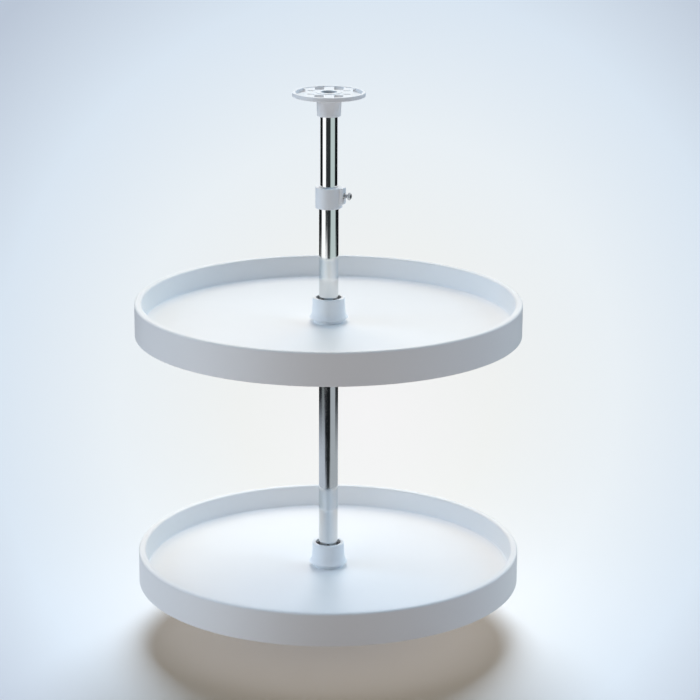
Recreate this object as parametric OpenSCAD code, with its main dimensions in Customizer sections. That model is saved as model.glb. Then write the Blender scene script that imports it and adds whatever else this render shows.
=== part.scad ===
// Two-shelf, full-round lazy Susan for a corner pantry cabinet.
// Two white moulded trays turn on a chromed telescoping post. The post turns in
// two equal moulded flanges, one screwed to the cabinet's floor and one to the
// panel above. Z runs up the post, and z = 0 is the face that meets the floor.

/* [Trays] */
// Outer diameter of both trays
tray_d = 508; // [420:1:760]
// Height of the outer skirt
tray_h = 44; // [34:0.5:70]
// Depth of the tray, from the rim's top to its floor
tray_depth = 29; // [22:0.2:36]
// Width of the rolled rim
lip_w = 9.6; // [8:0.1:16]
// Thickness of the skirt, the rim and the inner wall
tray_wall = 2.6; // [1.8:0.1:3.4]
// Thickness of the tray's floor
floor_t = 2.8; // [2:0.1:4]
// How far the inner wall leans in on its way down
wall_draft = 1.8; // [0:0.1:4]
// Radius on both edges of the rim
lip_round = 2.4; // [0.5:0.1:2.5]
// Radius between the floor and the inner wall
floor_fillet = 2.5; // [0.5:0.1:6]
// Number of ribs below the floor
rib_count = 12; // [6:1:24]
// Thickness of each rib
rib_t = 1.8; // [1:0.1:3]
// Diameter of the ring rib below the floor
ring_rib_d = 270; // [140:1:360]

/* [Hubs] */
// Diameter of the hub at its top
hub_top_d = 42; // [40:0.1:50]
// Diameter of the hub just above its flare
hub_low_d = 44; // [42:0.1:50]
// Diameter of the flare's edge
hub_flare_d = 50.4; // [50.4:0.1:60]
// Height of the hub above the tray's floor
hub_h = 32.8; // [26:0.1:50]
// Gap between the flare's edge and the floor
hub_gap = 5.4; // [3:0.1:9]
// Height of the flare's curve
flare_rise = 7.9; // [5:0.1:12]
// Thickness of the flare's edge
flare_edge_t = 1.2; // [0.8:0.1:3]
// Diameter of the neck that stands on the floor
neck_d = 39; // [38.5:0.1:41]
// Diameter of the spigot that fits in the tray
spigot_d = 36; // [35:0.1:38]
// Bore of the hub
hub_bore_d = 33; // [31:0.1:33.4]
// Diameter of the boss below the tray's floor
boss_d = 54; // [44:0.5:80]
// Radius on the hub's top edge
hub_round = 1.2; // [0.3:0.1:2]
// Bearing of the lower bush's tabs
lower_tab_turn = 0; // [0:1:90]
// Bearing of the upper bush's tabs
upper_tab_turn = 45; // [0:1:90]

/* [Hub bushes] */
// Wall of the bush's sleeve
bush_wall = 1.8; // [1:0.1:2.2]
// How far the sleeve stays below the hub's top
bush_sink = 9; // [2:0.1:16]
// How far the tabs stay below the hub's top
tab_sink = 0.6; // [0.2:0.1:1.8]
// Width of each tab
tab_w = 4; // [2:0.1:6]
// Thickness of the bush's thrust flange
bush_flange_t = 2; // [1.2:0.1:4]
// Diameter of the bush's thrust flange
bush_flange_d = 40; // [38:0.5:44]

/* [Tray supports] */
// Diameter of the collar below each tray
support_d = 38; // [34:0.5:44]
// Height of the collar below each tray
support_h = 12; // [9:0.5:24]
// Thickness of the thrust washer
washer_t = 1.5; // [0.8:0.1:3]
// Diameter of the thrust washer
washer_d = 39; // [32:0.5:44]
// Diameter of the pin through collar and post
pin_d = 5; // [3:0.1:6]

/* [Post] */
// Outer diameter of the lower tube
lower_tube_d = 25.4; // [25.2:0.1:26]
// Outer diameter of the upper tube
upper_tube_d = 22.2; // [21.6:0.1:22.4]
// Wall of both tubes
tube_wall = 1.2; // [0.9:0.1:1.3]
// Length of the upper tube
upper_tube_l = 240; // [150:1:240]
// Thickness of each end plug's head
plug_head_t = 2; // [1.5:0.1:4]
// Length of each end plug inside its tube
plug_l = 14; // [8:0.5:30]

/* [Heights] */
// Height of the lower tray's skirt above the cabinet floor
tray_rise = 76; // [64:0.5:160]
// Distance from one tray to the other
shelf_gap = 340; // [200:1:500]
// Height of the lock collar above the upper tray's rim
collar_rise = 123.6; // [90:0.2:200]
// Length of upper tube that shows above the lock collar
tube_show = 92.9; // [70:0.1:120]

/* [Flanges] */
// Outer diameter of the flange
flange_d = 94.4; // [92:0.2:120]
// Height of the flange with its boss
flange_h = 31.2; // [20:0.2:40]
// Width of the flange's outer ring
ring_w = 4.2; // [3:0.1:7]
// Thickness of the flange's outer ring
ring_t = 5.4; // [3.6:0.1:7]
// Radius on the ring's edges
ring_round = 1; // [0.2:0.1:1.4]
// Thickness of the flange's web
web_t = 2.6; // [2:0.1:3]
// How far the web lies below the mounting face
web_sink = 0.8; // [0.2:0.1:1.2]
// Diameter of the boss at the web
flange_boss_d = 32.8; // [30.6:0.1:33]
// Diameter of the boss at its mouth
boss_mouth_d = 30.4; // [29:0.1:30.4]
// Radius between the boss and the web
boss_fillet = 1.8; // [0.5:0.1:3]
// Diameter of the raised face round the centre hole
centre_face_d = 34; // [30:0.1:34]
// Diameter of the centre hole
eye_d = 20.6; // [16:0.1:21]
// Thickness of the shoulder that the post bears on
shoulder_t = 3.4; // [3:0.1:6]
// Distance between the screw slots along X
slot_span_x = 46; // [44:0.5:56]
// Distance between the screw slots along Y
slot_span_y = 26; // [20:0.5:32]
// Length of each screw slot, end to end
slot_l = 10.5; // [6:0.1:11]
// Width of each screw slot
slot_w = 5; // [4:0.1:6]
// Web that stays round each slot
slot_margin = 2.25; // [1.5:0.05:3]
// Width of the two large side windows along Y
side_window_w = 52; // [30:0.5:56]
// Width of each small window along X
end_window_w = 12; // [6:0.1:14]
// Width of the spoke between two small windows
spoke_w = 13; // [8:0.1:15]

/* [Lock collar] */
// Outer diameter of the lock collar
collar_d = 35; // [33:0.1:37]
// Height of the lock collar
collar_h = 27.4; // [24:0.1:40]
// Radius on the collar's edges
collar_round = 0.6; // [0.3:0.1:2]
// Length of the lower tube inside the collar
collar_grip = 8; // [4:0.1:8.5]
// Width of the lug
lug_w = 12; // [10:0.1:15]
// Height of the lug
lug_h = 21.4; // [12:0.1:22]
// Distance from the post's axis to the lug's face
lug_reach = 21.6; // [18.5:0.1:24]
// Bearing of the lug, measured from +X towards +Y
lug_bearing = -21; // [-180:1:180]
// Diameter of the lock screw
screw_d = 5; // [4:0.1:6]
// Length of the lock screw below its head
screw_l = 16; // [14:0.1:25]
// Diameter of the lock screw's head
head_d = 10; // [8:0.1:12]
// Height of the lock screw's head
head_h = 3.7; // [3:0.1:5]
// Width of the cross recess in the head
cross_w = 5.2; // [3:0.1:6]
// Width of each arm of the cross recess
cross_arm_w = 1.2; // [0.8:0.1:1.6]
// Depth of the cross recess
cross_deep = 2.2; // [1:0.1:2.6]
// Diameter of the threaded insert
insert_d = 7.4; // [6.8:0.1:8]
// How far the insert lies behind the lug's face
insert_sink = 0.5; // [0.1:0.1:2]

/* [Clearances] */
// Radial clearance of a shaft that turns or slides
run_gap = 0.08; // [0.02:0.01:0.09]
// Radial clearance of a fixed, pressed-in piece
press_gap = 0.02; // [0.01:0.01:0.04]
// Gap along the post between pieces that turn on each other
seat_gap = 0.3; // [0.2:0.05:0.6]

/* [Hidden] */

$fn = 96;
// Cutters run past the faces they cut by this much
over = 1;
// Solids that are joined sink into each other by this much
bite = 0.4;
// Facets of the small round pieces
small_fn = 48;

// Radii
tray_r = tray_d / 2;
lip_in_r = tray_r - lip_w;
foot_r = lip_in_r - wall_draft;
post_r = lower_tube_d / 2;
post_bore_r = post_r - tube_wall;
inner_r = upper_tube_d / 2;
inner_bore_r = inner_r - tube_wall;
spigot_r = spigot_d / 2;
hub_bore_r = hub_bore_d / 2;
bush_r = post_r + run_gap;
flange_r = flange_d / 2;
window_r = flange_r - ring_w;
eye_r = eye_d / 2;

// Heights inside one tray, above its skirt's lower edge
floor_z = tray_h - tray_depth;
floor_under = floor_z - floor_t;
boss_z = 1;
rib_z = 2;
rib_top = tray_h - tray_wall + bite;

// Places along the post
post_z = shoulder_t + seat_gap + plug_head_t;
lower_z = tray_rise;
upper_z = lower_z + shelf_gap;
collar_z = upper_z + tray_h + collar_rise;
collar_top = collar_z + collar_h;
grip_z = collar_z + collar_grip;
screw_z = collar_top - lug_h / 2;
mouth_z = collar_top + tube_show;
top_z = mouth_z + flange_h;
upper_tube_top = top_z - shoulder_t - seat_gap;
upper_tube_z = upper_tube_top - upper_tube_l;

// Stack below each tray, measured from the skirt's lower edge
thrust_z = boss_z - bush_flange_t;
washer_z = thrust_z - seat_gap - washer_t;
support_z = washer_z - support_h;

// The lock screw starts just off the upper tube and points outwards
screw_tip = inner_r + seat_gap;
head_under = screw_tip + screw_l;

WHITE = "whitesmoke";
NYLON = "ivory";
CHROME = "lightsteelblue";
STEEL = "silver";
BRASS = "goldenrod";

// Outline of a ring's section whose two outer corners are rounded
module outer_round_bar(x0, x1, z0, z1, round) {
    translate([x0, z0 + round]) square([x1 - x0, z1 - z0 - 2 * round]);
    translate([x0, z0]) square([x1 - x0 - round, z1 - z0]);
    for (z = [z0 + round, z1 - round])
        translate([x1 - round, z]) circle(r = round);
}

// Plain ring or tube, standing on z
module ring(inner, outer, z, h) {
    translate([0, 0, z]) difference() {
        cylinder(r = outer, h = h);
        translate([0, 0, -over]) cylinder(r = inner, h = h + 2 * over);
    }
}

// Bar on the bearing of the lug, from one radius to another
module lug_rod(r, from, to) {
    rotate([0, 0, lug_bearing]) translate([from, 0, screw_z])
        rotate([0, 90, 0]) cylinder(r = r, h = to - from, $fn = small_fn);
}

// ---- Trays ----

// Section of the rolled rim: skirt, lip and inner wall
module rim_section() {
    translate([tray_r - tray_wall, 0]) square([tray_wall, tray_h - lip_round]);
    difference() {
        union() {
            translate([lip_in_r, tray_h - tray_wall - lip_round])
                square([lip_w, tray_wall]);
            translate([lip_in_r + lip_round, tray_h - tray_wall])
                square([lip_w - 2 * lip_round, tray_wall]);
            for (x = [lip_in_r + lip_round, tray_r - lip_round])
                translate([x, tray_h - lip_round]) circle(r = lip_round);
        }
        translate([lip_in_r + tray_wall, tray_h - tray_wall - lip_round - over])
            square([lip_w - 2 * tray_wall, lip_round + over]);
    }
    polygon([
        [foot_r, floor_under],
        [foot_r + tray_wall, floor_under],
        [lip_in_r + tray_wall, tray_h - tray_wall],
        [lip_in_r, tray_h - lip_round],
        [foot_r, floor_z]
    ]);
}

// Section of the floor, with its centre boss, ring rib and corner radius
module floor_section() {
    hole_r = spigot_r + press_gap;
    translate([hole_r, floor_under]) square([foot_r + bite - hole_r, floor_t]);
    translate([hole_r, boss_z]) square([boss_d / 2 - hole_r, floor_under + bite - boss_z]);
    translate([(ring_rib_d - rib_t) / 2, rib_z]) square([rib_t, floor_under + bite - rib_z]);
    difference() {
        translate([foot_r - floor_fillet, floor_z - bite])
            square([floor_fillet + bite, floor_fillet + bite]);
        translate([foot_r - floor_fillet, floor_z + floor_fillet]) circle(r = floor_fillet);
    }
}

// Radial rib from the boss to the skirt, with a taller end that fills the hollow rim
module tray_rib() {
    rotate([90, 0, 0]) linear_extrude(height = rib_t, center = true)
        polygon([
            [boss_d / 2 - bite, rib_z],
            [tray_r - tray_wall + bite, rib_z],
            [tray_r - tray_wall + bite, rib_top],
            [lip_in_r + tray_wall - bite, rib_top],
            [foot_r + bite, floor_under + bite],
            [boss_d / 2 - bite, floor_under + bite]
        ]);
}

module tray(z) {
    color(WHITE) translate([0, 0, z]) union() {
        rotate_extrude($fn = 180) {
            rim_section();
            floor_section();
        }
        for (i = [0 : rib_count - 1])
            rotate([0, 0, (i + 0.5) * 360 / rib_count]) tray_rib();
    }
}

module lower_tray() { tray(lower_z); }
module upper_tray() { tray(upper_z); }

// ---- Hubs: bell-shaped collars pressed into the trays ----

// Section of the bell above its neck, with a hollow curve down to the flare
module bell_section() {
    top_r = hub_top_d / 2;
    low_r = hub_low_d / 2;
    flare_r = hub_flare_d / 2;
    out = flare_r - low_r;
    curve_r = (out * out + flare_rise * flare_rise) / (2 * out);
    edge_z = hub_gap + flare_edge_t;
    curve_z = edge_z + flare_rise;
    difference() {
        polygon([
            [hub_bore_r, hub_gap],
            [flare_r, hub_gap],
            [flare_r, edge_z],
            [low_r + out, curve_z],
            [low_r, curve_z],
            [top_r, hub_h - hub_round],
            [top_r - hub_round, hub_h],
            [hub_bore_r, hub_h]
        ]);
        translate([low_r + curve_r, curve_z]) circle(r = curve_r);
    }
    translate([top_r - hub_round, hub_h - hub_round]) circle(r = hub_round);
}

module hub(z) {
    spigot_l = floor_z - boss_z;
    color(WHITE) translate([0, 0, z + floor_z]) rotate_extrude($fn = 120) {
        bell_section();
        translate([hub_bore_r, 0]) square([neck_d / 2 - hub_bore_r, hub_gap + bite]);
        translate([hub_bore_r, -spigot_l]) square([spigot_r - hub_bore_r, spigot_l + bite]);
    }
}

module lower_hub() { hub(lower_z); }
module upper_hub() { hub(upper_z); }

// Bush in the hub's bore: sleeve, thrust flange and four tabs up to the hub's top
module hub_bush(z, turn) {
    out_r = hub_bore_r - press_gap;
    hub_top = floor_z + hub_h;
    color(NYLON) translate([0, 0, z]) difference() {
        union() {
            ring(bush_r, bush_r + bush_wall, thrust_z, hub_top - bush_sink - thrust_z);
            ring(bush_r, bush_flange_d / 2, thrust_z, bush_flange_t);
            intersection() {
                for (i = [0 : 3])
                    rotate([0, 0, turn + 90 * i]) translate([bush_r - over, -tab_w / 2, boss_z - bite])
                        cube([out_r, tab_w, hub_top - tab_sink - boss_z + bite]);
                ring(bush_r, out_r, thrust_z, hub_top - thrust_z);
            }
        }
        translate([0, 0, thrust_z - over]) cylinder(r = bush_r, h = hub_top + 2 * over);
    }
}

module lower_hub_bush() { hub_bush(lower_z, lower_tab_turn); }
module upper_hub_bush() { hub_bush(upper_z, upper_tab_turn); }

// ---- Supports: collar, cross pin and thrust washer below each tray ----

// Hole or pin across the post, at the middle of a support
module cross_pin(z, r, l) {
    translate([0, 0, z + support_z + support_h / 2]) rotate([0, 90, 0])
        cylinder(r = r, h = l, center = true, $fn = small_fn);
}

module support(z) {
    color(WHITE) difference() {
        ring(post_r + press_gap, support_d / 2, z + support_z, support_h);
        cross_pin(z, pin_d / 2 + press_gap, support_d + 2 * over);
    }
}

module pin(z) { color(STEEL) cross_pin(z, pin_d / 2, support_d - 2 * press_gap); }

module washer(z) {
    color(NYLON) ring(post_r + press_gap, washer_d / 2, z + washer_z, washer_t);
}

module lower_support() { support(lower_z); }
module upper_support() { support(upper_z); }
module lower_pin() { pin(lower_z); }
module upper_pin() { pin(upper_z); }
module lower_washer() { washer(lower_z); }
module upper_washer() { washer(upper_z); }

// ---- Post ----

module lower_tube() {
    color(CHROME) difference() {
        ring(post_bore_r, post_r, post_z, grip_z - post_z);
        for (z = [lower_z, upper_z])
            cross_pin(z, pin_d / 2 + press_gap, lower_tube_d + 2 * over);
    }
}

module upper_tube() {
    color(CHROME) ring(inner_bore_r, inner_r, upper_tube_z, upper_tube_l);
}

// End plug: a head below the tube's end and a shank inside the tube
module end_plug(z, head_r, shank_r) {
    color(NYLON) {
        translate([0, 0, z - plug_head_t]) cylinder(r = head_r, h = plug_head_t);
        translate([0, 0, z - bite]) cylinder(r = shank_r, h = plug_l + bite);
    }
}

module post_foot() { end_plug(post_z, post_r, post_bore_r - press_gap); }

// The head of this plug slides in the lower tube and keeps the upper one central
module tube_guide() {
    end_plug(upper_tube_z, post_bore_r - run_gap, inner_bore_r - press_gap);
}

// ---- Flanges ----

// Section of the tapered boss, with its root radius and rounded mouth
module boss_section() {
    root_r = flange_boss_d / 2;
    mouth_r = boss_mouth_d / 2;
    root_z = web_sink + web_t;
    bore_r = post_r + run_gap;
    polygon([
        [bore_r, root_z - bite],
        [root_r, root_z - bite],
        [root_r, root_z],
        [mouth_r, flange_h - ring_round],
        [mouth_r - ring_round, flange_h],
        [bore_r, flange_h]
    ]);
    translate([mouth_r - ring_round, flange_h - ring_round]) circle(r = ring_round);
    difference() {
        translate([root_r - bite, root_z - bite])
            square([boss_fillet + bite, boss_fillet + bite]);
        translate([root_r + boss_fillet, root_z + boss_fillet]) circle(r = boss_fillet);
    }
}

// Openings in the web, as seen from the mounting face
module web_openings() {
    side_x = slot_span_x / 2 + slot_l / 2 + slot_margin;
    end_y = slot_span_y / 2 + slot_w / 2 + slot_margin + boss_fillet;
    straight = slot_l - slot_w;
    intersection() {
        circle(r = window_r);
        union() {
            for (s = [-1, 1]) {
                translate([s * (side_x + flange_r / 2), 0])
                    square([flange_r, side_window_w], center = true);
                for (t = [-1, 1])
                    translate([s * (spoke_w + end_window_w) / 2, t * (end_y + flange_r / 2)])
                        square([end_window_w, flange_r], center = true);
            }
        }
    }
    for (s = [-1, 1], t = [-1, 1]) translate([s * slot_span_x / 2, t * slot_span_y / 2]) {
        square([straight, slot_w], center = true);
        for (u = [-1, 1]) translate([u * straight / 2, 0]) circle(d = slot_w, $fn = small_fn);
    }
}

// Flange with its mounting face at z = 0 and its boss pointing up
module flange() {
    difference() {
        union() {
            rotate_extrude() {
                outer_round_bar(window_r, flange_r, 0, ring_t, ring_round);
                translate([0, web_sink]) square([window_r + bite, web_t]);
                square([centre_face_d / 2, shoulder_t]);
                boss_section();
            }
        }
        translate([0, 0, -over]) linear_extrude(height = ring_t + 2 * over) web_openings();
        translate([0, 0, -over]) cylinder(r = eye_r, h = shoulder_t + 2 * over);
        translate([0, 0, shoulder_t]) cylinder(r = post_r + run_gap, h = flange_h);
    }
}

module bottom_flange() { color(WHITE) flange(); }

module top_flange() {
    color(WHITE) translate([0, 0, top_z]) rotate([180, 0, 0]) flange();
}

// Reducer that lets the slimmer upper tube turn in the same flange
module top_bush() {
    color(NYLON) ring(inner_r + run_gap, post_r + run_gap - press_gap,
        mouth_z, flange_h - shoulder_t);
}

// ---- Lock collar ----

module lock_collar() {
    color(WHITE) difference() {
        union() {
            rotate_extrude()
                outer_round_bar(0, collar_d / 2, collar_z, collar_top, collar_round);
            rotate([0, 0, lug_bearing]) translate([0, -lug_w / 2, screw_z - lug_h / 2])
                cube([lug_reach, lug_w, lug_h]);
        }
        translate([0, 0, collar_z - over])
            cylinder(r = post_r + press_gap, h = collar_grip + over);
        translate([0, 0, collar_z]) cylinder(r = inner_r + run_gap, h = collar_h + over);
        lug_rod(insert_d / 2 + press_gap, 0, lug_reach + over);
    }
}

// Threaded brass insert in the lug
module lock_insert() {
    from = inner_r + run_gap + insert_sink;
    color(BRASS) difference() {
        lug_rod(insert_d / 2, from, lug_reach - insert_sink);
        lug_rod(screw_d / 2 + run_gap, 0, lug_reach + over);
    }
}

// Section of a pan head's dome, from the screw's axis outwards
module head_section() {
    dome_r = (head_d * head_d / 4 + head_h * head_h) / (2 * head_h);
    intersection() {
        square([head_d / 2, head_h]);
        translate([0, head_h - dome_r]) circle(r = dome_r);
        translate([head_d / 2 - dome_r * 2, -over]) square([dome_r * 2, head_h + over]);
    }
    square([head_d / 2, head_h / 3]);
}

module lock_screw() {
    color(STEEL) union() {
        lug_rod(screw_d / 2, screw_tip, head_under + bite);
        rotate([0, 0, lug_bearing]) translate([head_under, 0, screw_z]) rotate([0, 90, 0])
            difference() {
                rotate_extrude($fn = small_fn) head_section();
                translate([0, 0, head_h - cross_deep]) for (a = [45, 135])
                    rotate([0, 0, a]) translate([-cross_w / 2, -cross_arm_w / 2, 0])
                        cube([cross_w, cross_arm_w, cross_deep + over]);
            }
    }
}

bottom_flange();
post_foot();
lower_tube();
lower_support();
lower_pin();
lower_washer();
lower_tray();
lower_hub();
lower_hub_bush();
upper_support();
upper_pin();
upper_washer();
upper_tray();
upper_hub();
upper_hub_bush();
lock_collar();
lock_insert();
lock_screw();
upper_tube();
tube_guide();
top_bush();
top_flange();
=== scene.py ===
import math

import bmesh
import bpy
from mathutils import Matrix, Vector
from mathutils.geometry import tessellate_polygon

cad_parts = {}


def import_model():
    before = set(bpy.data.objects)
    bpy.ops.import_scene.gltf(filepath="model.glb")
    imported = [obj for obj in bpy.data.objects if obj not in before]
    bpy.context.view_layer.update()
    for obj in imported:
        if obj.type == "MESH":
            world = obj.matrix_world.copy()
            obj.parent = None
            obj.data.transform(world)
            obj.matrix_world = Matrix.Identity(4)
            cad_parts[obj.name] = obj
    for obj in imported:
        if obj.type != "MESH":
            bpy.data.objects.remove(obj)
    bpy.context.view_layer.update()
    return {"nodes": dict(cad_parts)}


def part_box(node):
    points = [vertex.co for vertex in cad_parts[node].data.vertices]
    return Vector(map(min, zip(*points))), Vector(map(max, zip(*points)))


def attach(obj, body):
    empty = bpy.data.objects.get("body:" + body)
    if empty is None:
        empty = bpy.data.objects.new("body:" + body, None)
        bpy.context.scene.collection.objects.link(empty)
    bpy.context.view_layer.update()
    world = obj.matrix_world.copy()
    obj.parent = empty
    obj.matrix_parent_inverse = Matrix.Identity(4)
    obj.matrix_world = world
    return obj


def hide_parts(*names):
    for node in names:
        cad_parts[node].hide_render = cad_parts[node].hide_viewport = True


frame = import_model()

# Two-shelf lazy Susan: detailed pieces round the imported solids, their materials,
# and a plain pale studio. Sections and outlines are written in millimetres, as in
# the part's source, and turned into metres when their mesh is made.

NODES = frame["nodes"]
MM = 0.001
LEVELS = ("lower", "upper")

# ---- Camera and stage: sizes in metres, angles in degrees ----

LENS_MM = 131.5
SENSOR_MM = 36
CAMERA_AT = (0.0282, -3.242, 1.3047)
CAMERA_PITCH = 74.27
CAMERA_ROLL = 0.233

# Suns: name, level on a facing white surface, colour, bearing from the front (-Y)
# towards +X, height above the floor, softness
OBJECT_SUNS = (
    ("back_high", 0.475, (1.0, 0.826, 0.61), 184, 55, 45),
    ("back_right", 0.325, (0.66, 0.89, 1.0), 130, 30, 50),
    ("left", 0.37, (0.56, 0.77, 1.0), -90, 28, 40),
    ("right", 0.27, (0.57, 0.76, 1.0), 90, 28, 40),
    ("front_left", 0.205, (0.90, 0.956, 1.0), -45, 28, 40),
)
FLOOR_SUN = ("floor_key", 1.06, (0.878, 0.935, 1.0), 178, 58, 32)
SHADOW_SUN = ("back_narrow", 0.29, (0.893, 0.924, 1.0), 178, 52, 16)

FLOOR_HALF = 40.0
GROUND_Z = -0.0004
FLOOR_RETURN = (0.245, 0.245, 0.245)    # how much of its light the floor throws back at the object
FLOOR_GLOW = (0.345, 0.295, 0.269)      # what it sends to the object everywhere, shadow or not
# Painted fill glow: the floor glows everywhere with this share of its tone, the warm light left in its shadow
FLOOR_PAINTED_FILL = (0.212, 0.162, 0.104)     # share of its tone that is left where its own sun is shut out
# Painted contact shade: near the post the floor's fill glow is weakened, so the floor is darker there
SHADE_REACH = (0.05, 0.25)              # from the post: SHADE_LEAST of that share up to here, all from there
SHADE_LEAST = 0.45

# The floor's tones are a painted pool of light, lightest at POOL_AT and falling off to blue-grey.
# They lie still on the floor, in world coordinates, but they are laid out from where the camera
# stands in the main view: FADE_Y and FADE_HEIGHT are CAMERA_AT's Y and Z. POOL_AT is the lightest
# place, as sideways and downwards slopes from there.
FADE_Y = -3.242
FADE_HEIGHT = 1.305
FADE_NEAREST = 1.2                      # a distance below this counts as this
POOL_AT = (0.014, 0.305)
POOL_FALL = (4.9, 4.4)
PAINTED_LIGHT_POOL_TONES = (
    (0.0, (0.892, 0.891, 0.897)), (0.25, (0.853, 0.87, 0.861)), (0.5, (0.807, 0.861, 0.901)),
    (0.75, (0.688, 0.778, 0.875)), (1.0, (0.493, 0.562, 0.668)),
)

AMBIENT = (0.01, 0.01, 0.01, 1)
HORIZON = (0.49, 0.56, 0.67, 1)         # past the floor's end
OVERHEAD_FRONT = (0.45, 0.5, 0.55, 1)
OVERHEAD_BACK = (0.95, 0.97, 1.0, 1)
OVERHEAD_FROM = (0.02, 0.14)            # Z of the directions in which the walls give way to it

# What glossy rays see in place of the floor and the background, placed so that the
# stripes on the tubes fall as in the photo: stretches (from, to, colour) by bearing,
# blended in between. LOWER_WALLS follow downwards, each blended in over two Z of the
# direction.
DARK, DIM, WHITE = (0.012, 0.014, 0.016), (0.035, 0.04, 0.042), (1.5, 1.5, 1.5)
GREEN, GREY, BLUE, SLATE = (0.68, 0.80, 0.78), (0.50, 0.54, 0.57), (0.62, 0.68, 0.76), (0.17, 0.19, 0.185)
WALLS = ((-180, -92, DARK), (-88, -42, WHITE), (-38, 21, DIM), (25, 84, GREEN), (88, 180, DARK))
LOWER_WALLS = (
    (-0.226, -0.236, ((-180, -120, DARK), (-80, -26, WHITE), (-6, 8, DIM), (22, 84, GREEN),
                      (110, 180, DARK))),
    (-0.262, -0.275, ((-180, -92, DARK), (-78, -60, SLATE), (-51, 19, DARK), (27, 84, GREY),
                      (92, 180, DARK))),
    (-0.289, -0.31, ((-180, -46, BLUE), (-37, 18, DARK), (27, 180, GREY))),
    (-0.312, -0.3225, ((-180, -38, BLUE), (-11, 5, DIM), (20, 180, GREY))),
)


def make_camera():
    data = bpy.data.cameras.new("camera")
    data.lens = LENS_MM
    data.sensor_width = SENSOR_MM
    data.clip_end = 5 * FLOOR_HALF
    camera = bpy.data.objects.new("camera", data)
    camera.location = CAMERA_AT
    camera.rotation_euler = (Matrix.Rotation(math.radians(CAMERA_PITCH), 3, "X")
                             @ Matrix.Rotation(math.radians(CAMERA_ROLL), 3, "Z")).to_euler()
    bpy.context.scene.collection.objects.link(camera)
    bpy.context.scene.camera = camera


def link_list(name, things, state):
    """Collection for light linking, with its objects taken in (INCLUDE) or left out (EXCLUDE)"""
    found = bpy.data.collections.new(name)
    for thing in things:
        found.objects.link(thing)
    for entry in found.collection_objects:
        entry.light_linking.link_state = state
    return found


def sun(spec, floor, state):
    """A sun of the lists above. It lights the floor alone (INCLUDE) or all but the floor (EXCLUDE)."""
    name, level, colour, bearing, height, softness = spec
    data = bpy.data.lights.new(name, "SUN")
    data.energy = level * math.pi
    data.color = colour
    data.angle = math.radians(softness)
    lamp = bpy.data.objects.new(name, data)
    around, up = math.radians(bearing), math.radians(height)
    towards = Vector((math.sin(around) * math.cos(up), -math.cos(around) * math.cos(up), math.sin(up)))
    lamp.rotation_euler = towards.to_track_quat("Z", "Y").to_euler()
    bpy.context.scene.collection.objects.link(lamp)
    lamp.light_linking.receiver_collection = link_list(name + "_lit", [floor], state)
    lamp.visible_glossy = False
    return lamp


class Nodes:
    """Short calls to build a node tree"""

    def __init__(self, tree):
        self.tree = tree
        tree.nodes.clear()

    def put(self, socket, value):
        """Link a socket, or set a number or colour"""
        if isinstance(value, bpy.types.NodeSocket):
            self.tree.links.new(value, socket)
        else:
            socket.default_value = value

    def add(self, kind, settings=None, **inputs):
        """A node with its settings and inputs. An input is named, or i and its place."""
        node = self.tree.nodes.new(kind)
        for key, value in (settings or {}).items():
            setattr(node, key, value)
        for key, value in inputs.items():
            numbered = key[0] == "i" and key[1:].isdigit()
            self.put(node.inputs[int(key[1:]) if numbered else key.replace("_", " ")], value)
        return node

    def math(self, operation, a, b=0.0, c=0.0):
        return self.add("ShaderNodeMath", {"operation": operation}, i0=a, i1=b, i2=c).outputs[0]

    def length(self, a, b):
        """Length of the vector (a, b)"""
        return self.math("SQRT", self.math("ADD", self.math("MULTIPLY", a, a), self.math("MULTIPLY", b, b)))

    def fit(self, value, start, end, low=0.0, high=1.0, how="LINEAR"):
        """The value's way from start to end, as low to high"""
        return self.add("ShaderNodeMapRange", {"interpolation_type": how}, Value=value, From_Min=start,
                        From_Max=end, To_Min=low, To_Max=high).outputs[0]

    def mix(self, factor, a, b, how="MIX"):
        """Colour between a and b"""
        settings = {"data_type": "RGBA", "blend_type": how}
        return self.add("ShaderNodeMix", settings, i0=factor, i6=a, i7=b).outputs[2]

    def ramp(self, factor, stops):
        node = self.add("ShaderNodeValToRGB", i0=factor)
        ramp = node.color_ramp
        ramp.elements.remove(ramp.elements[1])
        ramp.elements[0].position = stops[0][0]
        ramp.elements[0].color = (*stops[0][1], 1)
        for place, colour in stops[1:]:
            ramp.elements.new(place).color = (*colour, 1)
        return node.outputs[0]

    def noise(self, where, scale, detail=2.0, rough=0.5):
        return self.add("ShaderNodeTexNoise", Vector=where, Scale=scale, Detail=detail,
                        Roughness=rough).outputs[0]

    def diffuse(self, colour):
        return self.add("ShaderNodeBsdfDiffuse", Color=colour).outputs[0]

    def glow(self, colour, strength=1.0):
        return self.add("ShaderNodeEmission", Color=colour, Strength=strength).outputs[0]

    def both(self, a, b):
        """The light of two shaders together"""
        return self.add("ShaderNodeAddShader", i0=a, i1=b).outputs[0]

    def choose(self, factor, a, b):
        """Shader between a and b"""
        return self.add("ShaderNodeMixShader", Fac=factor, i1=a, i2=b).outputs[0]


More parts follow.
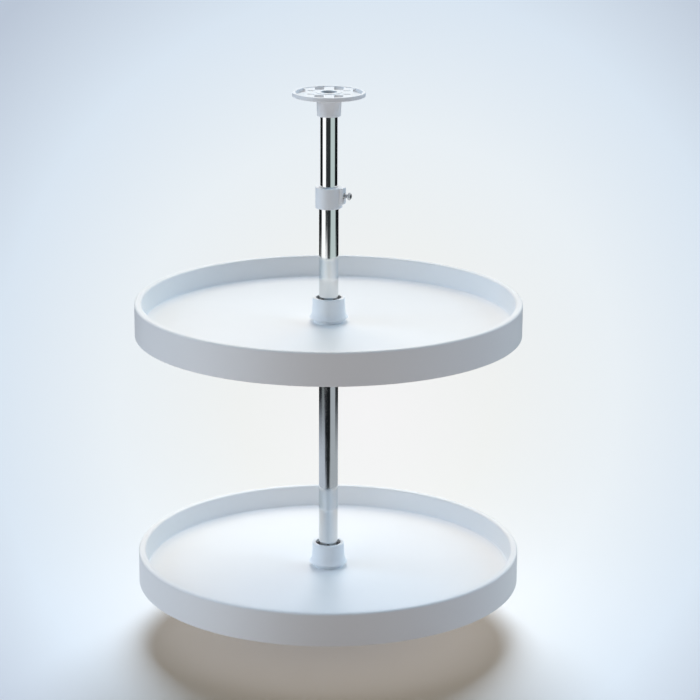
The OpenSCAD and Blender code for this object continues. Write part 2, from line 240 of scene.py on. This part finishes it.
def world():
    """Faint ambient light; glossy rays see bands of dark and pale walls, and a pale ceiling"""
    studio = bpy.data.worlds.new("studio")
    bpy.context.scene.world = studio
    studio.use_nodes = True
    n = Nodes(studio.node_tree)
    direction = n.add("ShaderNodeTexCoord").outputs["Generated"]
    x, y, z = n.add("ShaderNodeSeparateXYZ", Vector=direction).outputs
    turn = n.math("ARCTAN2", x, n.math("MULTIPLY", y, -1.0))
    turn = n.math("MULTIPLY_ADD", turn, 0.5 / math.pi, 0.5)

    def bands(stretches):
        return n.ramp(turn, [((end + 180) / 360, colour) for start, stop, colour in stretches
                             for end in (start, stop)])

    walls = bands(WALLS)
    for start, end, stretches in LOWER_WALLS:
        walls = n.mix(n.fit(z, start, end), walls, bands(stretches))
    overhead = n.mix(n.math("MULTIPLY_ADD", y, 0.5, 0.5), OVERHEAD_FRONT, OVERHEAD_BACK)
    seen = n.mix(n.fit(z, *OVERHEAD_FROM), walls, overhead)
    rays = n.add("ShaderNodeLightPath").outputs
    colour = n.mix(rays["Is Glossy Ray"], AMBIENT, seen)
    colour = n.mix(rays["Is Camera Ray"], colour, HORIZON)
    background = n.add("ShaderNodeBackground", Color=colour, Strength=1.0)
    n.add("ShaderNodeOutputWorld", Surface=background.outputs[0])


def floor_material():
    """Pale floor with a painted pool of light that fades to blue-grey. Its own sun casts the object's
    shadow, which a painted warm fill glow lightens and a painted contact shade deepens near the post.
    The fade is laid out from the main view's camera place (see FADE_Y). The object gets a plain glow
    from the floor and only a little of its light."""
    material = bpy.data.materials.new("studio_floor")
    material.use_nodes = True
    n = Nodes(material.node_tree)
    place = n.add("ShaderNodeNewGeometry").outputs
    x, y, _ = n.add("ShaderNodeSeparateXYZ", Vector=place["Position"]).outputs
    distance = n.math("MAXIMUM", n.math("SUBTRACT", y, FADE_Y), FADE_NEAREST)
    slopes = n.math("DIVIDE", x, distance), n.math("DIVIDE", FADE_HEIGHT, distance)
    sideways, down = (n.math("MULTIPLY", n.math("SUBTRACT", slope, at), fall)
                      for slope, at, fall in zip(slopes, POOL_AT, POOL_FALL))
    # Painted pool of light: the floor's tone is lightest at POOL_AT and falls off to blue-grey
    colour = n.ramp(n.length(sideways, down), PAINTED_LIGHT_POOL_TONES)
    # Painted fill glow that lightens the floor's shadow
    shade = n.mix(1.0, colour, (*FLOOR_PAINTED_FILL, 1), "MULTIPLY")
    # Painted contact shade: the fill glow is weaker near the post
    painted_contact_shade = n.fit(n.length(x, y), *SHADE_REACH, SHADE_LEAST, 1.0, "SMOOTHSTEP")
    shown = n.both(n.diffuse(colour), n.glow(shade, painted_contact_shade))
    bounced = n.both(n.diffuse((*FLOOR_RETURN, 1)), n.glow((*FLOOR_GLOW, 1)))
    camera_ray = n.add("ShaderNodeLightPath").outputs["Is Camera Ray"]
    # From below the floor is clear, so that the part's underside can be seen
    from_below = n.math("MULTIPLY", camera_ray, place["Backfacing"])
    clear = n.add("ShaderNodeBsdfTransparent").outputs[0]
    n.add("ShaderNodeOutputMaterial",
          Surface=n.choose(from_below, n.choose(camera_ray, bounced, shown), clear))
    return material


def make_stage():
    s = FLOOR_HALF
    mesh = bpy.data.meshes.new("floor")
    mesh.from_pydata([(-s, -s, 0), (s, -s, 0), (s, s, 0), (-s, s, 0)], [], [(0, 1, 2, 3)])
    mesh.materials.append(floor_material())
    floor = bpy.data.objects.new("floor", mesh)
    floor.location.z = GROUND_Z
    floor.visible_glossy = False
    bpy.context.scene.collection.objects.link(floor)
    for spec in OBJECT_SUNS:
        sun(spec, floor, "EXCLUDE")
    sun(FLOOR_SUN, floor, "INCLUDE")
    world()
    return floor


def make_shadow_sun(floor, trays):
    """Sun from behind that lays the shadows of hubs and tubes on the trays; the trays cast none in it"""
    lamp = sun(SHADOW_SUN, floor, "EXCLUDE")
    lamp.light_linking.blocker_collection = link_list("back_narrow_passes", trays, "EXCLUDE")


# ---- Materials ----


def surface(name):
    """New material, its node builder and the place on the object that its patterns follow"""
    material = bpy.data.materials.new(name)
    material.use_nodes = True
    n = Nodes(material.node_tree)
    return material, n, n.add("ShaderNodeTexCoord").outputs["Object"]


def shade(n, **inputs):
    n.add("ShaderNodeOutputMaterial", Surface=n.add("ShaderNodeBsdfPrincipled", **inputs).outputs[0])


def bump(n, layers):
    """Bump from (height socket, depth in mm) layers"""
    normal = None
    for height, depth in layers:
        inputs = {"Height": height, "Distance": depth * MM, "Strength": 1.0}
        if normal is not None:
            inputs["Normal"] = normal
        normal = n.add("ShaderNodeBump", **inputs).outputs[0]
    return normal


def polymer(name, colour, rough, grain_mm, grain_depth, drift):
    """Moulded polymer: fine grain, faint waves, slow drift of tone and sheen"""
    material, n, where = surface(name)
    slow = n.noise(where, 7.0, 3.0)
    flow = n.noise(where, 45.0, 2.0)
    grain = n.noise(where, 1 / (grain_mm * MM), 3.0, 0.6)
    low = tuple(c * (1 - drift) for c in colour)
    base = n.mix(n.fit(slow, 0.3, 0.7), (*low, 1), (*colour, 1))
    fleck = tuple(c * 0.8 for c in colour)
    base = n.mix(n.fit(grain, 0.35, 0.65, 0.0, 0.05), base, (*fleck, 1))
    shade(n, Base_Color=base, Roughness=n.fit(flow, 0.25, 0.75, rough - 0.035, rough + 0.035),
          Normal=bump(n, [(grain, grain_depth), (flow, 0.02)]))
    return material


def chrome(name, bore_r):
    """Bright plate on drawn tube: faint lines along the tube and a slow change of polish.
    The plating stops inside the bore, which is dull and painted near-black: bare metal with painted
    shade for the tube's dark inside."""
    material, n, where = surface(name)
    stretch = n.add("ShaderNodeMapping", Vector=where, Scale=(1.0, 1.0, 0.012)).outputs[0]
    lines = n.noise(stretch, 2600.0, 2.0)
    cloud = n.noise(where, 60.0, 3.0)
    base = n.mix(cloud, (0.64, 0.66, 0.67, 1), (0.69, 0.70, 0.71, 1))
    gloss = n.fit(cloud, 0.3, 0.7, 0.035, 0.075)
    x, y, _ = n.add("ShaderNodeSeparateXYZ", Vector=where).outputs
    plated_vs_bore_shade = n.math("GREATER_THAN", n.length(x, y), bore_r * MM)
    # Inside the bore: unplated, dull and near-black brown, the darkness being painted shade
    shade(n, Base_Color=n.mix(plated_vs_bore_shade, (0.10, 0.085, 0.07, 1), base),
          Roughness=n.math("MULTIPLY_ADD", plated_vs_bore_shade, n.math("SUBTRACT", gloss, 0.6), 0.6),
          Metallic=plated_vs_bore_shade, Normal=bump(n, [(lines, 0.0006)]))
    return material


def metal(name, colour, tint, rough, scale):
    """Plated or turned metal with fine marks and a patchy film"""
    material, n, where = surface(name)
    patch = n.noise(where, scale, 4.0, 0.6)
    marks = n.noise(where, scale * 9, 2.0)
    base = n.mix(patch, (*colour, 1), (*tint, 1))
    shade(n, Base_Color=base, Roughness=n.fit(patch, 0.3, 0.7, rough - 0.06, rough + 0.08),
          Metallic=1.0, Normal=bump(n, [(marks, 0.004)]))
    return material


TRAY_WHITE = polymer("tray_white_satin", (0.87, 0.885, 0.90), 0.36, 0.45, 0.006, 0.02)
MOULDED_WHITE = polymer("moulded_white_fine", (0.87, 0.90, 0.935), 0.42, 0.3, 0.008, 0.025)
NYLON = polymer("natural_nylon", (0.80, 0.79, 0.74), 0.48, 0.35, 0.01, 0.03)
# Painted shade: the hub bushes are near-black so that the gap round the tube in each hub reads as shade
HUB_RECESS_SHADE_NYLON = polymer("nylon_painted_recess_shade", (0.13, 0.12, 0.115), 0.5, 0.35, 0.01, 0.03)
LOWER_CHROME = chrome("lower_tube_chrome", 12.1)
UPPER_CHROME = chrome("upper_tube_chrome", 10.5)
STEEL = metal("zinc_plate", (0.60, 0.61, 0.63), (0.72, 0.73, 0.74), 0.28, 320)
SCREW_STEEL = metal("bright_zinc_screw", (0.46, 0.47, 0.49), (0.56, 0.57, 0.59), 0.14, 260)
BRASS = metal("turned_brass", (0.70, 0.52, 0.24), (0.80, 0.63, 0.34), 0.26, 260)


# ---- Mesh helpers ----


def rounded(corners, steps=5, closed=True):
    """Points of an outline given as corners (x, y, radius), with an arc at each rounded corner"""
    points = []
    last = len(corners) - 1
    for i, (x, y, radius) in enumerate(corners):
        here = Vector((x, y))
        if radius <= 0 or (not closed and i in (0, last)):
            points.append(here)
            continue
        back = (Vector(corners[i - 1][:2]) - here).normalized()
        ahead = (Vector(corners[(i + 1) % len(corners)][:2]) - here).normalized()
        half = back.angle(ahead) / 2
        centre = here + (back + ahead).normalized() * (radius / math.sin(half))
        arm = here + back * (radius / math.tan(half)) - centre
        side = -1 if back.x * ahead.y - back.y * ahead.x > 0 else 1
        sweep = side * (math.pi - 2 * half)
        for k in range(steps + 1):
            points.append(centre + Matrix.Rotation(sweep * k / steps, 2) @ arm)
    return points


def arc(centre, radius, start, end, steps):
    """Corners without radius along an arc, in degrees"""
    found = []
    for k in range(steps + 1):
        a = math.radians(start + (end - start) * k / steps)
        found.append((centre[0] + radius * math.cos(a), centre[1] + radius * math.sin(a), 0))
    return found


def loft(rows, closed=True):
    """Vertices and faces through rows of as many points, each row a closed loop"""
    count = len(rows[0])
    verts = [v for row in rows for v in row]
    faces = []
    for r in range(len(rows) if closed else len(rows) - 1):
        low, high = r * count, (r + 1) % len(rows) * count
        for i in range(count):
            j = (i + 1) % count
            faces.append((low + i, low + j, high + j, high + i))
    if not closed:
        faces.append(tuple(range(count)))
        faces.append(tuple(reversed(range((len(rows) - 1) * count, len(rows) * count))))
    return verts, faces


def revolve(section, columns=128):
    """A closed section of (radius, height) points, turned round Z"""
    turns = [2 * math.pi * c / columns for c in range(columns)]
    return loft([[(r * math.cos(a), r * math.sin(a), z) for a in turns] for r, z in section])


def build(verts_faces, place=None):
    """Clean mesh in metres from millimetres"""
    verts, faces = verts_faces
    mesh = bpy.data.meshes.new("work")
    mesh.from_pydata([Vector(v) * MM for v in verts], [], faces)
    if place is not None:
        mesh.transform(place)
    work = bmesh.new()
    work.from_mesh(mesh)
    bmesh.ops.remove_doubles(work, verts=work.verts, dist=1e-6)
    bmesh.ops.dissolve_degenerate(work, edges=work.edges, dist=1e-7)
    bmesh.ops.recalc_face_normals(work, faces=work.faces)
    work.to_mesh(mesh)
    work.free()
    return mesh


def combine(base, tool, how):
    """Mesh of two meshes joined (UNION) or of one cut by the other (DIFFERENCE)"""
    pair = [bpy.data.objects.new("work", mesh) for mesh in (base, tool)]
    for work in pair:
        bpy.context.scene.collection.objects.link(work)
    boolean = pair[0].modifiers.new("boolean", "BOOLEAN")
    boolean.operation = how
    boolean.solver = "MANIFOLD"
    boolean.object = pair[1]
    graph = bpy.context.evaluated_depsgraph_get()
    mesh = bpy.data.meshes.new_from_object(pair[0].evaluated_get(graph))
    for work in pair:
        bpy.data.objects.remove(work)
    return mesh


def shift(z=0.0, x=0.0, y=0.0):
    return Matrix.Translation((x * MM, y * MM, z * MM))


def turned(degrees, axis="Z"):
    return Matrix.Rotation(math.radians(degrees), 4, axis)


def piece(name, mesh, body, node, material, place=None, sharp=35):
    """Object of the visual model that stands for a CAD node and rides on its body"""
    mesh = mesh.copy()
    if place is not None:
        mesh.transform(place)
    mesh.name = name
    mesh.materials.clear()
    mesh.materials.append(material)
    mesh.shade_smooth()
    mesh.set_sharp_from_angle(angle=math.radians(sharp))
    thing = bpy.data.objects.new(name, mesh)
    bpy.context.scene.collection.objects.link(thing)
    weighted = thing.modifiers.new("normals", "WEIGHTED_NORMAL")
    weighted.keep_sharp = True
    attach(thing, body)
    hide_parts(node)
    return thing


def dress(node, material, edge):
    """A CAD node that stays: its sharp edges are broken by edge mm, and it gets its material"""
    thing = NODES[node]
    thing.data.materials.clear()
    thing.data.materials.append(material)
    if edge:
        thing.modifiers.new("weld", "WELD").merge_threshold = 1e-6
        bevel = thing.modifiers.new("edges", "BEVEL")
        bevel.width = edge * MM
        bevel.segments = 2
        bevel.limit_method = "ANGLE"
        bevel.angle_limit = math.radians(40)
        thing.modifiers.new("normals", "WEIGHTED_NORMAL").keep_sharp = True


def bottom(node):
    """Lowest height of a CAD node, in millimetres"""
    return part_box(node)[0].z / MM


# ---- Trays: heights from the skirt's lower edge ----

TRAY_R = 254.0
TRAY_H = 44.0
SKIRT = 2.6                      # the skirt's wall at its lower edge
RIM_UNDER = 41.4                 # the rim's underside
LIP_ROUND = 3.0
WALL_TOP_R = 244.54
WALL_FOOT_R = 242.6
FLOOR_Z = 15.0
FLOOR_UNDER = 12.2
FLOOR_ROUND = 2.5
SOCKET_R = 27.0                  # the boss round the hub's spigot
SOCKET_Z = 1.0
SOCKET_BORE_R = 18.02
RING_RIB_R = 135.0
RIB_COUNT = 12
RIB_HALF = 0.8
RIB_Z = 2.0                      # the ribs' crest
RIB_SOFT = 0.3
RIB_ROOT = 0.7
RIB_DRAFT = math.tan(math.radians(1.0))
RIB_LOW = 1.2                    # a rib lower than this has its roundings shrunk
TRAY_BAYS = 24


def tray_section():
    """Rows of the tray's section: those that a rib can cross come last"""
    shell = rounded([
        (SOCKET_R, 4.0, 0), (SOCKET_R, SOCKET_Z, 0.6), (SOCKET_BORE_R, SOCKET_Z, 0.4),
        (SOCKET_BORE_R, FLOOR_Z, 0.5), (120.0, FLOOR_Z, 0), (WALL_FOOT_R, FLOOR_Z, FLOOR_ROUND),
        (WALL_TOP_R, TRAY_H, LIP_ROUND), (TRAY_R, TRAY_H, LIP_ROUND), (TRAY_R, 0.0, 0.9),
        (TRAY_R - SKIRT, 0.0, 0.9), (TRAY_R - SKIRT - 0.04, 3.0, 0),
    ], steps=7, closed=False)
    under = rounded([
        (TRAY_R - SKIRT - 0.05, 4.0, 0), (TRAY_R - SKIRT - 0.25, RIM_UNDER, 1.1), (247.0, RIM_UNDER, 1.1),
        (245.2, FLOOR_UNDER, 1.4), (190.0, FLOOR_UNDER, 0), (RING_RIB_R + 1.2, FLOOR_UNDER, 0.5),
        (RING_RIB_R + 0.85, RIB_Z, 0.4), (RING_RIB_R - 0.85, RIB_Z, 0.4),
        (RING_RIB_R - 1.2, FLOOR_UNDER, 0.5), (80.0, FLOOR_UNDER, 0),
        (SOCKET_R + 0.1, FLOOR_UNDER, 1.2), (SOCKET_R + 0.03, 4.2, 0),
    ], steps=4, closed=False)
    return [(*p, False) for p in shell] + [(*p, True) for p in under]


def rib_columns():
    """Half a rib from its middle outwards: (half width, kind, height from the crest or from the floor)"""
    s = RIB_SOFT
    t = RIB_ROOT
    return [
        (0.0, "crest", 0.0), (RIB_HALF - s, "crest", 0.0), (RIB_HALF - 0.3 * s, "crest", 0.3 * s),
        (RIB_HALF, "crest", s),
        (RIB_HALF, "root", t), (RIB_HALF + 0.13 * t, "root", 0.5 * t), (RIB_HALF + 0.5 * t, "root", 0.13 * t),
        (RIB_HALF + t, "root", 0.0),
    ]


def tray_mesh():
    half = rib_columns()
    band = [(-w, kind, h) for w, kind, h in reversed(half[1:])] + half
    step = 2 * math.pi / RIB_COUNT
    rows = []
    for radius, base, under in tray_section():
        tall = max(0.0, base - RIB_Z) if under else 0.0
        small = min(1.0, tall / RIB_LOW)
        row = []
        for sector in range(RIB_COUNT):
            middle = (sector + 0.5) * step
            for width, kind, height in band:
                lean = RIB_DRAFT * tall if kind == "root" else 0.0
                offset = width + math.copysign(lean, width)
                if kind == "crest":
                    z = base - tall + height * small
                else:
                    z = base - height * small
                row.append((middle + math.asin(offset / radius), z))
            start = row[-1][0]
            end = middle + step + math.asin((-band[-1][0] - RIB_DRAFT * tall) / radius)
            for k in range(1, TRAY_BAYS):
                row.append((start + (end - start) * k / TRAY_BAYS, base))
        rows.append([(radius * math.cos(a), radius * math.sin(a), z) for a, z in row])
    return build(loft(rows))


def make_trays():
    mesh = tray_mesh()
    return [piece(level + "_tray_moulding", mesh, level + "_shelf", level + "_tray", TRAY_WHITE,
                  shift(bottom(level + "_tray"))) for level in LEVELS]


# ---- Hubs and what carries them ----

SPIGOT = 14.0
SPIGOT_R = 18.0
HUB_BORE_R = 16.5
HUB_H = 32.8
HUB_TOP_R = 21.0
HUB_FOOT_R = 19.5
FLARE_R = 25.2
FLARE_Z = 5.4
FLARE_CURVE_R = 11.35

POST_FIT_R = 12.72               # bore of what sits on the lower tube
SUPPORT_R = 19.0
SUPPORT_H = 12.0
PIN_R = 2.5
PIN_HALF = 18.98
PIN_SLIT = 24                    # degrees


def hub_mesh():
    """Bell with a hollow curve down to its flare; heights from the tray's floor"""
    flare = arc((22 + FLARE_CURVE_R, 14.5), FLARE_CURVE_R, 224.1, 180, 10)
    section = rounded([
        (HUB_BORE_R, -SPIGOT, 0.3), (SPIGOT_R, -SPIGOT, 0.5), (SPIGOT_R, 0.0, 0), (HUB_FOOT_R, 0.0, 0.2),
        (HUB_FOOT_R, FLARE_Z, 0.8), (FLARE_R, FLARE_Z, 0.4), *flare, (HUB_TOP_R, HUB_H, 1.2),
        (HUB_BORE_R, HUB_H, 0.5),
    ])
    return build(revolve(section, 144))


def make_hubs():
    mesh = hub_mesh()
    for level in LEVELS:
        node = level + "_hub"
        piece(node + "_bell", mesh, level + "_shelf", node, MOULDED_WHITE,
              shift(bottom(node) + SPIGOT))
        # The bush's near-black colour is painted shade for the gap in the hub's recess
        dress(node + "_bush", HUB_RECESS_SHADE_NYLON, 0.25)


def support_mesh():
    ring = build(revolve(rounded([
        (POST_FIT_R, 0.0, 0.4), (SUPPORT_R, 0.0, 0.8), (SUPPORT_R, SUPPORT_H, 0.5),
        (POST_FIT_R, SUPPORT_H, 0.4),
    ]), 96))
    bore, past = PIN_R + 0.02, SUPPORT_R + 3
    hole = build(revolve([(0, -past), (bore, -past), (bore, past), (0, past)], 40), turned(90, "Y"))
    hole.transform(shift(SUPPORT_H / 2))
    return combine(ring, hole, "DIFFERENCE")


def pin_mesh():
    """Rolled spring pin with its slit, along X"""
    angles = [math.radians(PIN_SLIT / 2 + (360 - PIN_SLIT) * k / 40) for k in range(41)]
    end = [(PIN_HALF, 2.1, 1.75), (PIN_HALF - 0.38, 2.35, 1.7), (PIN_HALF - 0.88, PIN_R, 1.7)]
    rows = []
    for z, out, inside in [(-z, out, inside) for z, out, inside in end] + end[::-1]:
        outer = [(out * math.cos(a), out * math.sin(a), z) for a in angles]
        inner = [(inside * math.cos(a), inside * math.sin(a), z) for a in reversed(angles)]
        rows.append(outer + inner)
    return build(loft(rows, closed=False), turned(90, "Y"))


def make_supports():
    ring, pin = support_mesh(), pin_mesh()
    for level in LEVELS:
        low = bottom(level + "_support")
        piece(level + "_support_ring", ring, "post", level + "_support", MOULDED_WHITE,
              shift(low))
        piece(level + "_spring_pin", pin, "post", level + "_pin", STEEL,
              shift(low + SUPPORT_H / 2))
        dress(level + "_washer", NYLON, 0.2)


# ---- Flanges ----

FLANGE_R = 47.2
FLANGE_RIM_T = 5.4
WINDOW_R = 43.0
EYE_R = 14.0                     # the web ends here, inside the core
CORE_R = 17.0
CORE_ROUND_R = 18.22             # where the core's root radius meets the web
CORE_BOSS_R = 15.2
CORE_BOSS_Z = 31.2
CORE_BORE_R = 12.78
CORE_HOLE_R = 10.3
CORE_FLOOR = 3.4
SLOT_AT = (23, 13)
SLOT_HALF = 2.75                 # from a slot's middle to the centre of its round end
SLOT_R = 2.5


def offset_outline(points, by):
    """Closed outline (anticlockwise) moved outwards by a distance"""
    found = []
    for i, here in enumerate(points):
        along = (points[(i + 1) % len(points)] - points[i - 1]).normalized()
        found.append(here + Vector((along.y, -along.x)) * by)
    return found


def plate(outline, holes, low, high, soft, steps=3):
    """Flat plate with holes, its edges rounded by soft mm"""
    levels = [(low + soft * (1 - math.cos(a)), soft * (1 - math.sin(a)))
              for a in (math.pi / 2 * k / steps for k in range(steps + 1))]
    levels += [(low + high - z, inset) for z, inset in reversed(levels)]
    verts, faces = [], []
    loops = [outline] + holes
    total = sum(len(loop) for loop in loops)
    for z, inset in levels:
        for which, loop in enumerate(loops):
            verts += [(p.x, p.y, z) for p in offset_outline(loop, inset if which else -inset)]
    for level in range(len(levels) - 1):
        start = level * total
        for loop in loops:
            count = len(loop)
            for i in range(count):
                j = (i + 1) % count
                faces.append((start + i, start + j, start + total + j, start + total + i))
            start += count
    for level in (0, len(levels) - 1):
        start = level * total
        flat, first = [], start
        for loop in loops:
            flat.append([Vector(v) for v in verts[first:first + len(loop)]])
            first += len(loop)
        faces += [tuple(start + i for i in triangle) for triangle in tessellate_polygon(flat)]
    return verts, faces


def ring_outline(radius, count=120):
    return [Vector((radius * math.cos(2 * math.pi * k / count), radius * math.sin(2 * math.pi * k / count)))
            for k in range(count)]


def web_holes():
    """The room for the core, two large side windows, four small ones and four screw slots"""
    corner = math.degrees(math.asin(26 / WINDOW_R))
    side = [(30.5, -26, 1.5), *arc((0, 0), WINDOW_R, -corner, corner, 14), (30.5, 26, 1.5)]
    first, last = (math.degrees(math.acos(x / WINDOW_R)) for x in (18.5, 6.5))
    small = [(6.5, 19.55, 1.5), (18.5, 19.55, 1.5), *arc((0, 0), WINDOW_R, first, last, 6)]
    x, y = SLOT_AT
    slot = [*arc((x + SLOT_HALF, y), SLOT_R, -90, 90, 12), *arc((x - SLOT_HALF, y), SLOT_R, 90, 270, 12)]
    holes = [ring_outline(EYE_R)]
    quarters = ((1, 1), (-1, 1), (1, -1), (-1, -1))
    for shape, mirrors in ((side, quarters[:2]), (small, quarters), (slot, quarters)):
        points = rounded(shape, 4)
        for sx, sy in mirrors:
            mirrored = [Vector((p.x * sx, p.y * sy)) for p in points]
            holes.append(mirrored if sx * sy > 0 else mirrored[::-1])
    return holes


def flange_mesh():
    """Flange with its mounting face at z = 0 and its boss pointing up"""
    ring = build(revolve(rounded([
        (WINDOW_R, 0.0, 0.4), (FLANGE_R, 0.0, 0.7), (FLANGE_R, FLANGE_RIM_T, 0.7),
        (WINDOW_R, FLANGE_RIM_T, 0.4),
    ]), 192))
    web = build(plate(ring_outline(WINDOW_R + 1.1, 192), web_holes(), 0.8, 3.4, 0.35))
    core = build(revolve(rounded([
        (CORE_HOLE_R, 0.0, 0.4), (CORE_R, 0.0, 0.4), (CORE_R, 2.0, 0), (CORE_ROUND_R, 2.0, 0),
        (CORE_ROUND_R, CORE_FLOOR - 0.02, 0), *arc((18.2, 5.2), 1.8, 269, 181, 8),
        (CORE_BOSS_R, CORE_BOSS_Z, 0.7), (CORE_BORE_R, CORE_BOSS_Z, 0.3), (CORE_BORE_R, CORE_FLOOR, 0.4),
        (CORE_HOLE_R, CORE_FLOOR, 0.3),
    ]), 120))
    return combine(combine(ring, web, "UNION"), core, "UNION")


def make_flanges():
    mesh = flange_mesh()
    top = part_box("top_flange")[1].z / MM
    piece("bottom_flange_moulding", mesh, "base", "bottom_flange", MOULDED_WHITE)
    piece("top_flange_moulding", mesh, "top", "top_flange", MOULDED_WHITE,
          shift(top) @ turned(180, "X"))
    dress("top_bush", NYLON, 0.2)
    dress("post_foot", NYLON, 0.3)


# ---- Post and lock ----

LUG_BEARING = -21
COLLAR_R = 17.5
COLLAR_H = 27.4
LUG_HALF = 6.0
LUG_REACH = 21.6
LUG_Z = 6.0
STEP_Z = 8.0                     # in the collar, where the wide bore meets the narrow one
SLIDE_FIT_R = 11.26              # bore for the upper tube
SCREW_HOLE_R = 3.74
SCREW_HEAD_X = 27.4
SCREW_LENGTH = 16.0
PITCH = 0.8
THREAD_CORE_R = 2.03
THREAD_R = 2.49


def collar_mesh():
    """Sleeve with its lug along +X; heights from the sleeve's lower end"""
    r, half, reach, high, lug_low = COLLAR_R, LUG_HALF, LUG_REACH, COLLAR_H, LUG_Z
    join = math.degrees(math.asin(half / r))
    x = r * math.cos(math.radians(join))
    outline = rounded([
        *arc((0, 0), r, join + 6, 360 - join - 6, 60),
        (x, -half, 1.0), (reach, -half, 0.8), (reach, half, 0.8), (x, half, 1.0),
    ], 5)
    sleeve = [p.normalized() * r for p in outline]

    def ring(points, z):
        return [(p.x, p.y, z) for p in points]

    def circle(radius, z):
        return ring([p.normalized() * radius for p in outline], z)

    def lug(inset, z, least=r):
        moved = offset_outline(outline, -inset)
        return ring([p if p.length > least else p.normalized() * least for p in moved], z)

    quarter = [math.radians(90 * k / 5) for k in range(6)]
    rows = [circle(r - 0.6 * (1 - math.sin(a)), 0.6 * (1 - math.cos(a))) for a in quarter]
    rows += [ring(sleeve, lug_low)]
    rows += [lug(0.8 * (1 - math.sin(a)), lug_low + 0.8 * (1 - math.cos(a))) for a in quarter]
    rows += [lug(0.6 * (1 - math.sin(a)), high - 0.6 * (1 - math.cos(a)), 0) for a in reversed(quarter)]
    rows += [circle(SLIDE_FIT_R + 1.04, high), circle(SLIDE_FIT_R, high - 1.4), circle(SLIDE_FIT_R, STEP_Z),
             circle(POST_FIT_R, STEP_Z), circle(POST_FIT_R, 0.4), circle(POST_FIT_R + 0.38, 0.0)]
    body = build(loft(rows))
    hole = build(revolve([
        (0, 9), (SCREW_HOLE_R, 9), (SCREW_HOLE_R, reach - 0.35), (4.5, reach + 0.4), (0, reach + 0.4),
    ], 48), shift((high + lug_low) / 2) @ turned(90, "Y"))
    return combine(body, hole, "DIFFERENCE")


def screw_mesh():
    """Pan-head screw along +Z, head on top of z = 0"""
    head = build(revolve(rounded([
        (0, 0.0, 0), (5.0, 0.0, 0.25), (5.0, 1.5, 0.9), (3.6, 3.25, 2.2), (0.0, 3.7, 0), (0, 1.0, 0),
    ], 6), 96))
    columns, rows = 48, []
    count = int(SCREW_LENGTH / PITCH * 12)
    for i in range(count + 1):
        z = -SCREW_LENGTH + (SCREW_LENGTH + 0.4) * i / count
        from_tip = z + SCREW_LENGTH
        fade = min(1.0, from_tip, max(0.0, (-0.6 - z) / 0.9))
        row = []
        for c in range(columns):
            phase = (z / PITCH - c / columns) % 1
            tooth = min(1.0, max(0.0, 1.35 - abs(phase - 0.5) * 3.2))
            radius = THREAD_CORE_R + (THREAD_R - THREAD_CORE_R) * tooth * fade
            if from_tip < 0.5:
                radius -= (0.5 - from_tip) * 0.7
            a = 2 * math.pi * c / columns
            row.append((radius * math.cos(a), radius * math.sin(a), z))
        rows.append(row)
    shank = build(loft(rows, closed=False))
    body = combine(head, shank, "UNION")
    for angle in (45, 135):
        bar = [[(-wide, -thick, z), (wide, -thick, z), (wide, thick, z), (-wide, thick, z)]
               for wide, thick, z in ((0.9, 0.42, 1.5), (1.9, 0.52, 2.3), (2.75, 0.66, 4.2))]
        body = combine(body, build(loft(bar, closed=False), turned(angle)), "DIFFERENCE")
    return body


def make_post():
    low = bottom("lock_collar")
    piece("lock_collar_moulding", collar_mesh(), "post", "lock_collar", MOULDED_WHITE,
          shift(low) @ turned(LUG_BEARING))
    screw_z = low + (COLLAR_H + LUG_Z) / 2
    to_lug = shift(screw_z) @ turned(LUG_BEARING) @ shift(0, SCREW_HEAD_X) @ turned(90, "Y")
    piece("lock_screw_pan_head", screw_mesh(), "screw", "lock_screw", SCREW_STEEL, to_lug)
    dress("lock_insert", BRASS, 0.15)
    dress("lower_tube", LOWER_CHROME, 0)
    dress("upper_tube", UPPER_CHROME, 0)
    dress("tube_guide", NYLON, 0.3)


make_camera()
ground = make_stage()
make_shadow_sun(ground, make_trays())
make_hubs()
make_supports()
make_flanges()
make_post()

bpy.context.scene.view_settings.view_transform = "Standard"

bpy.context.view_layer.update()
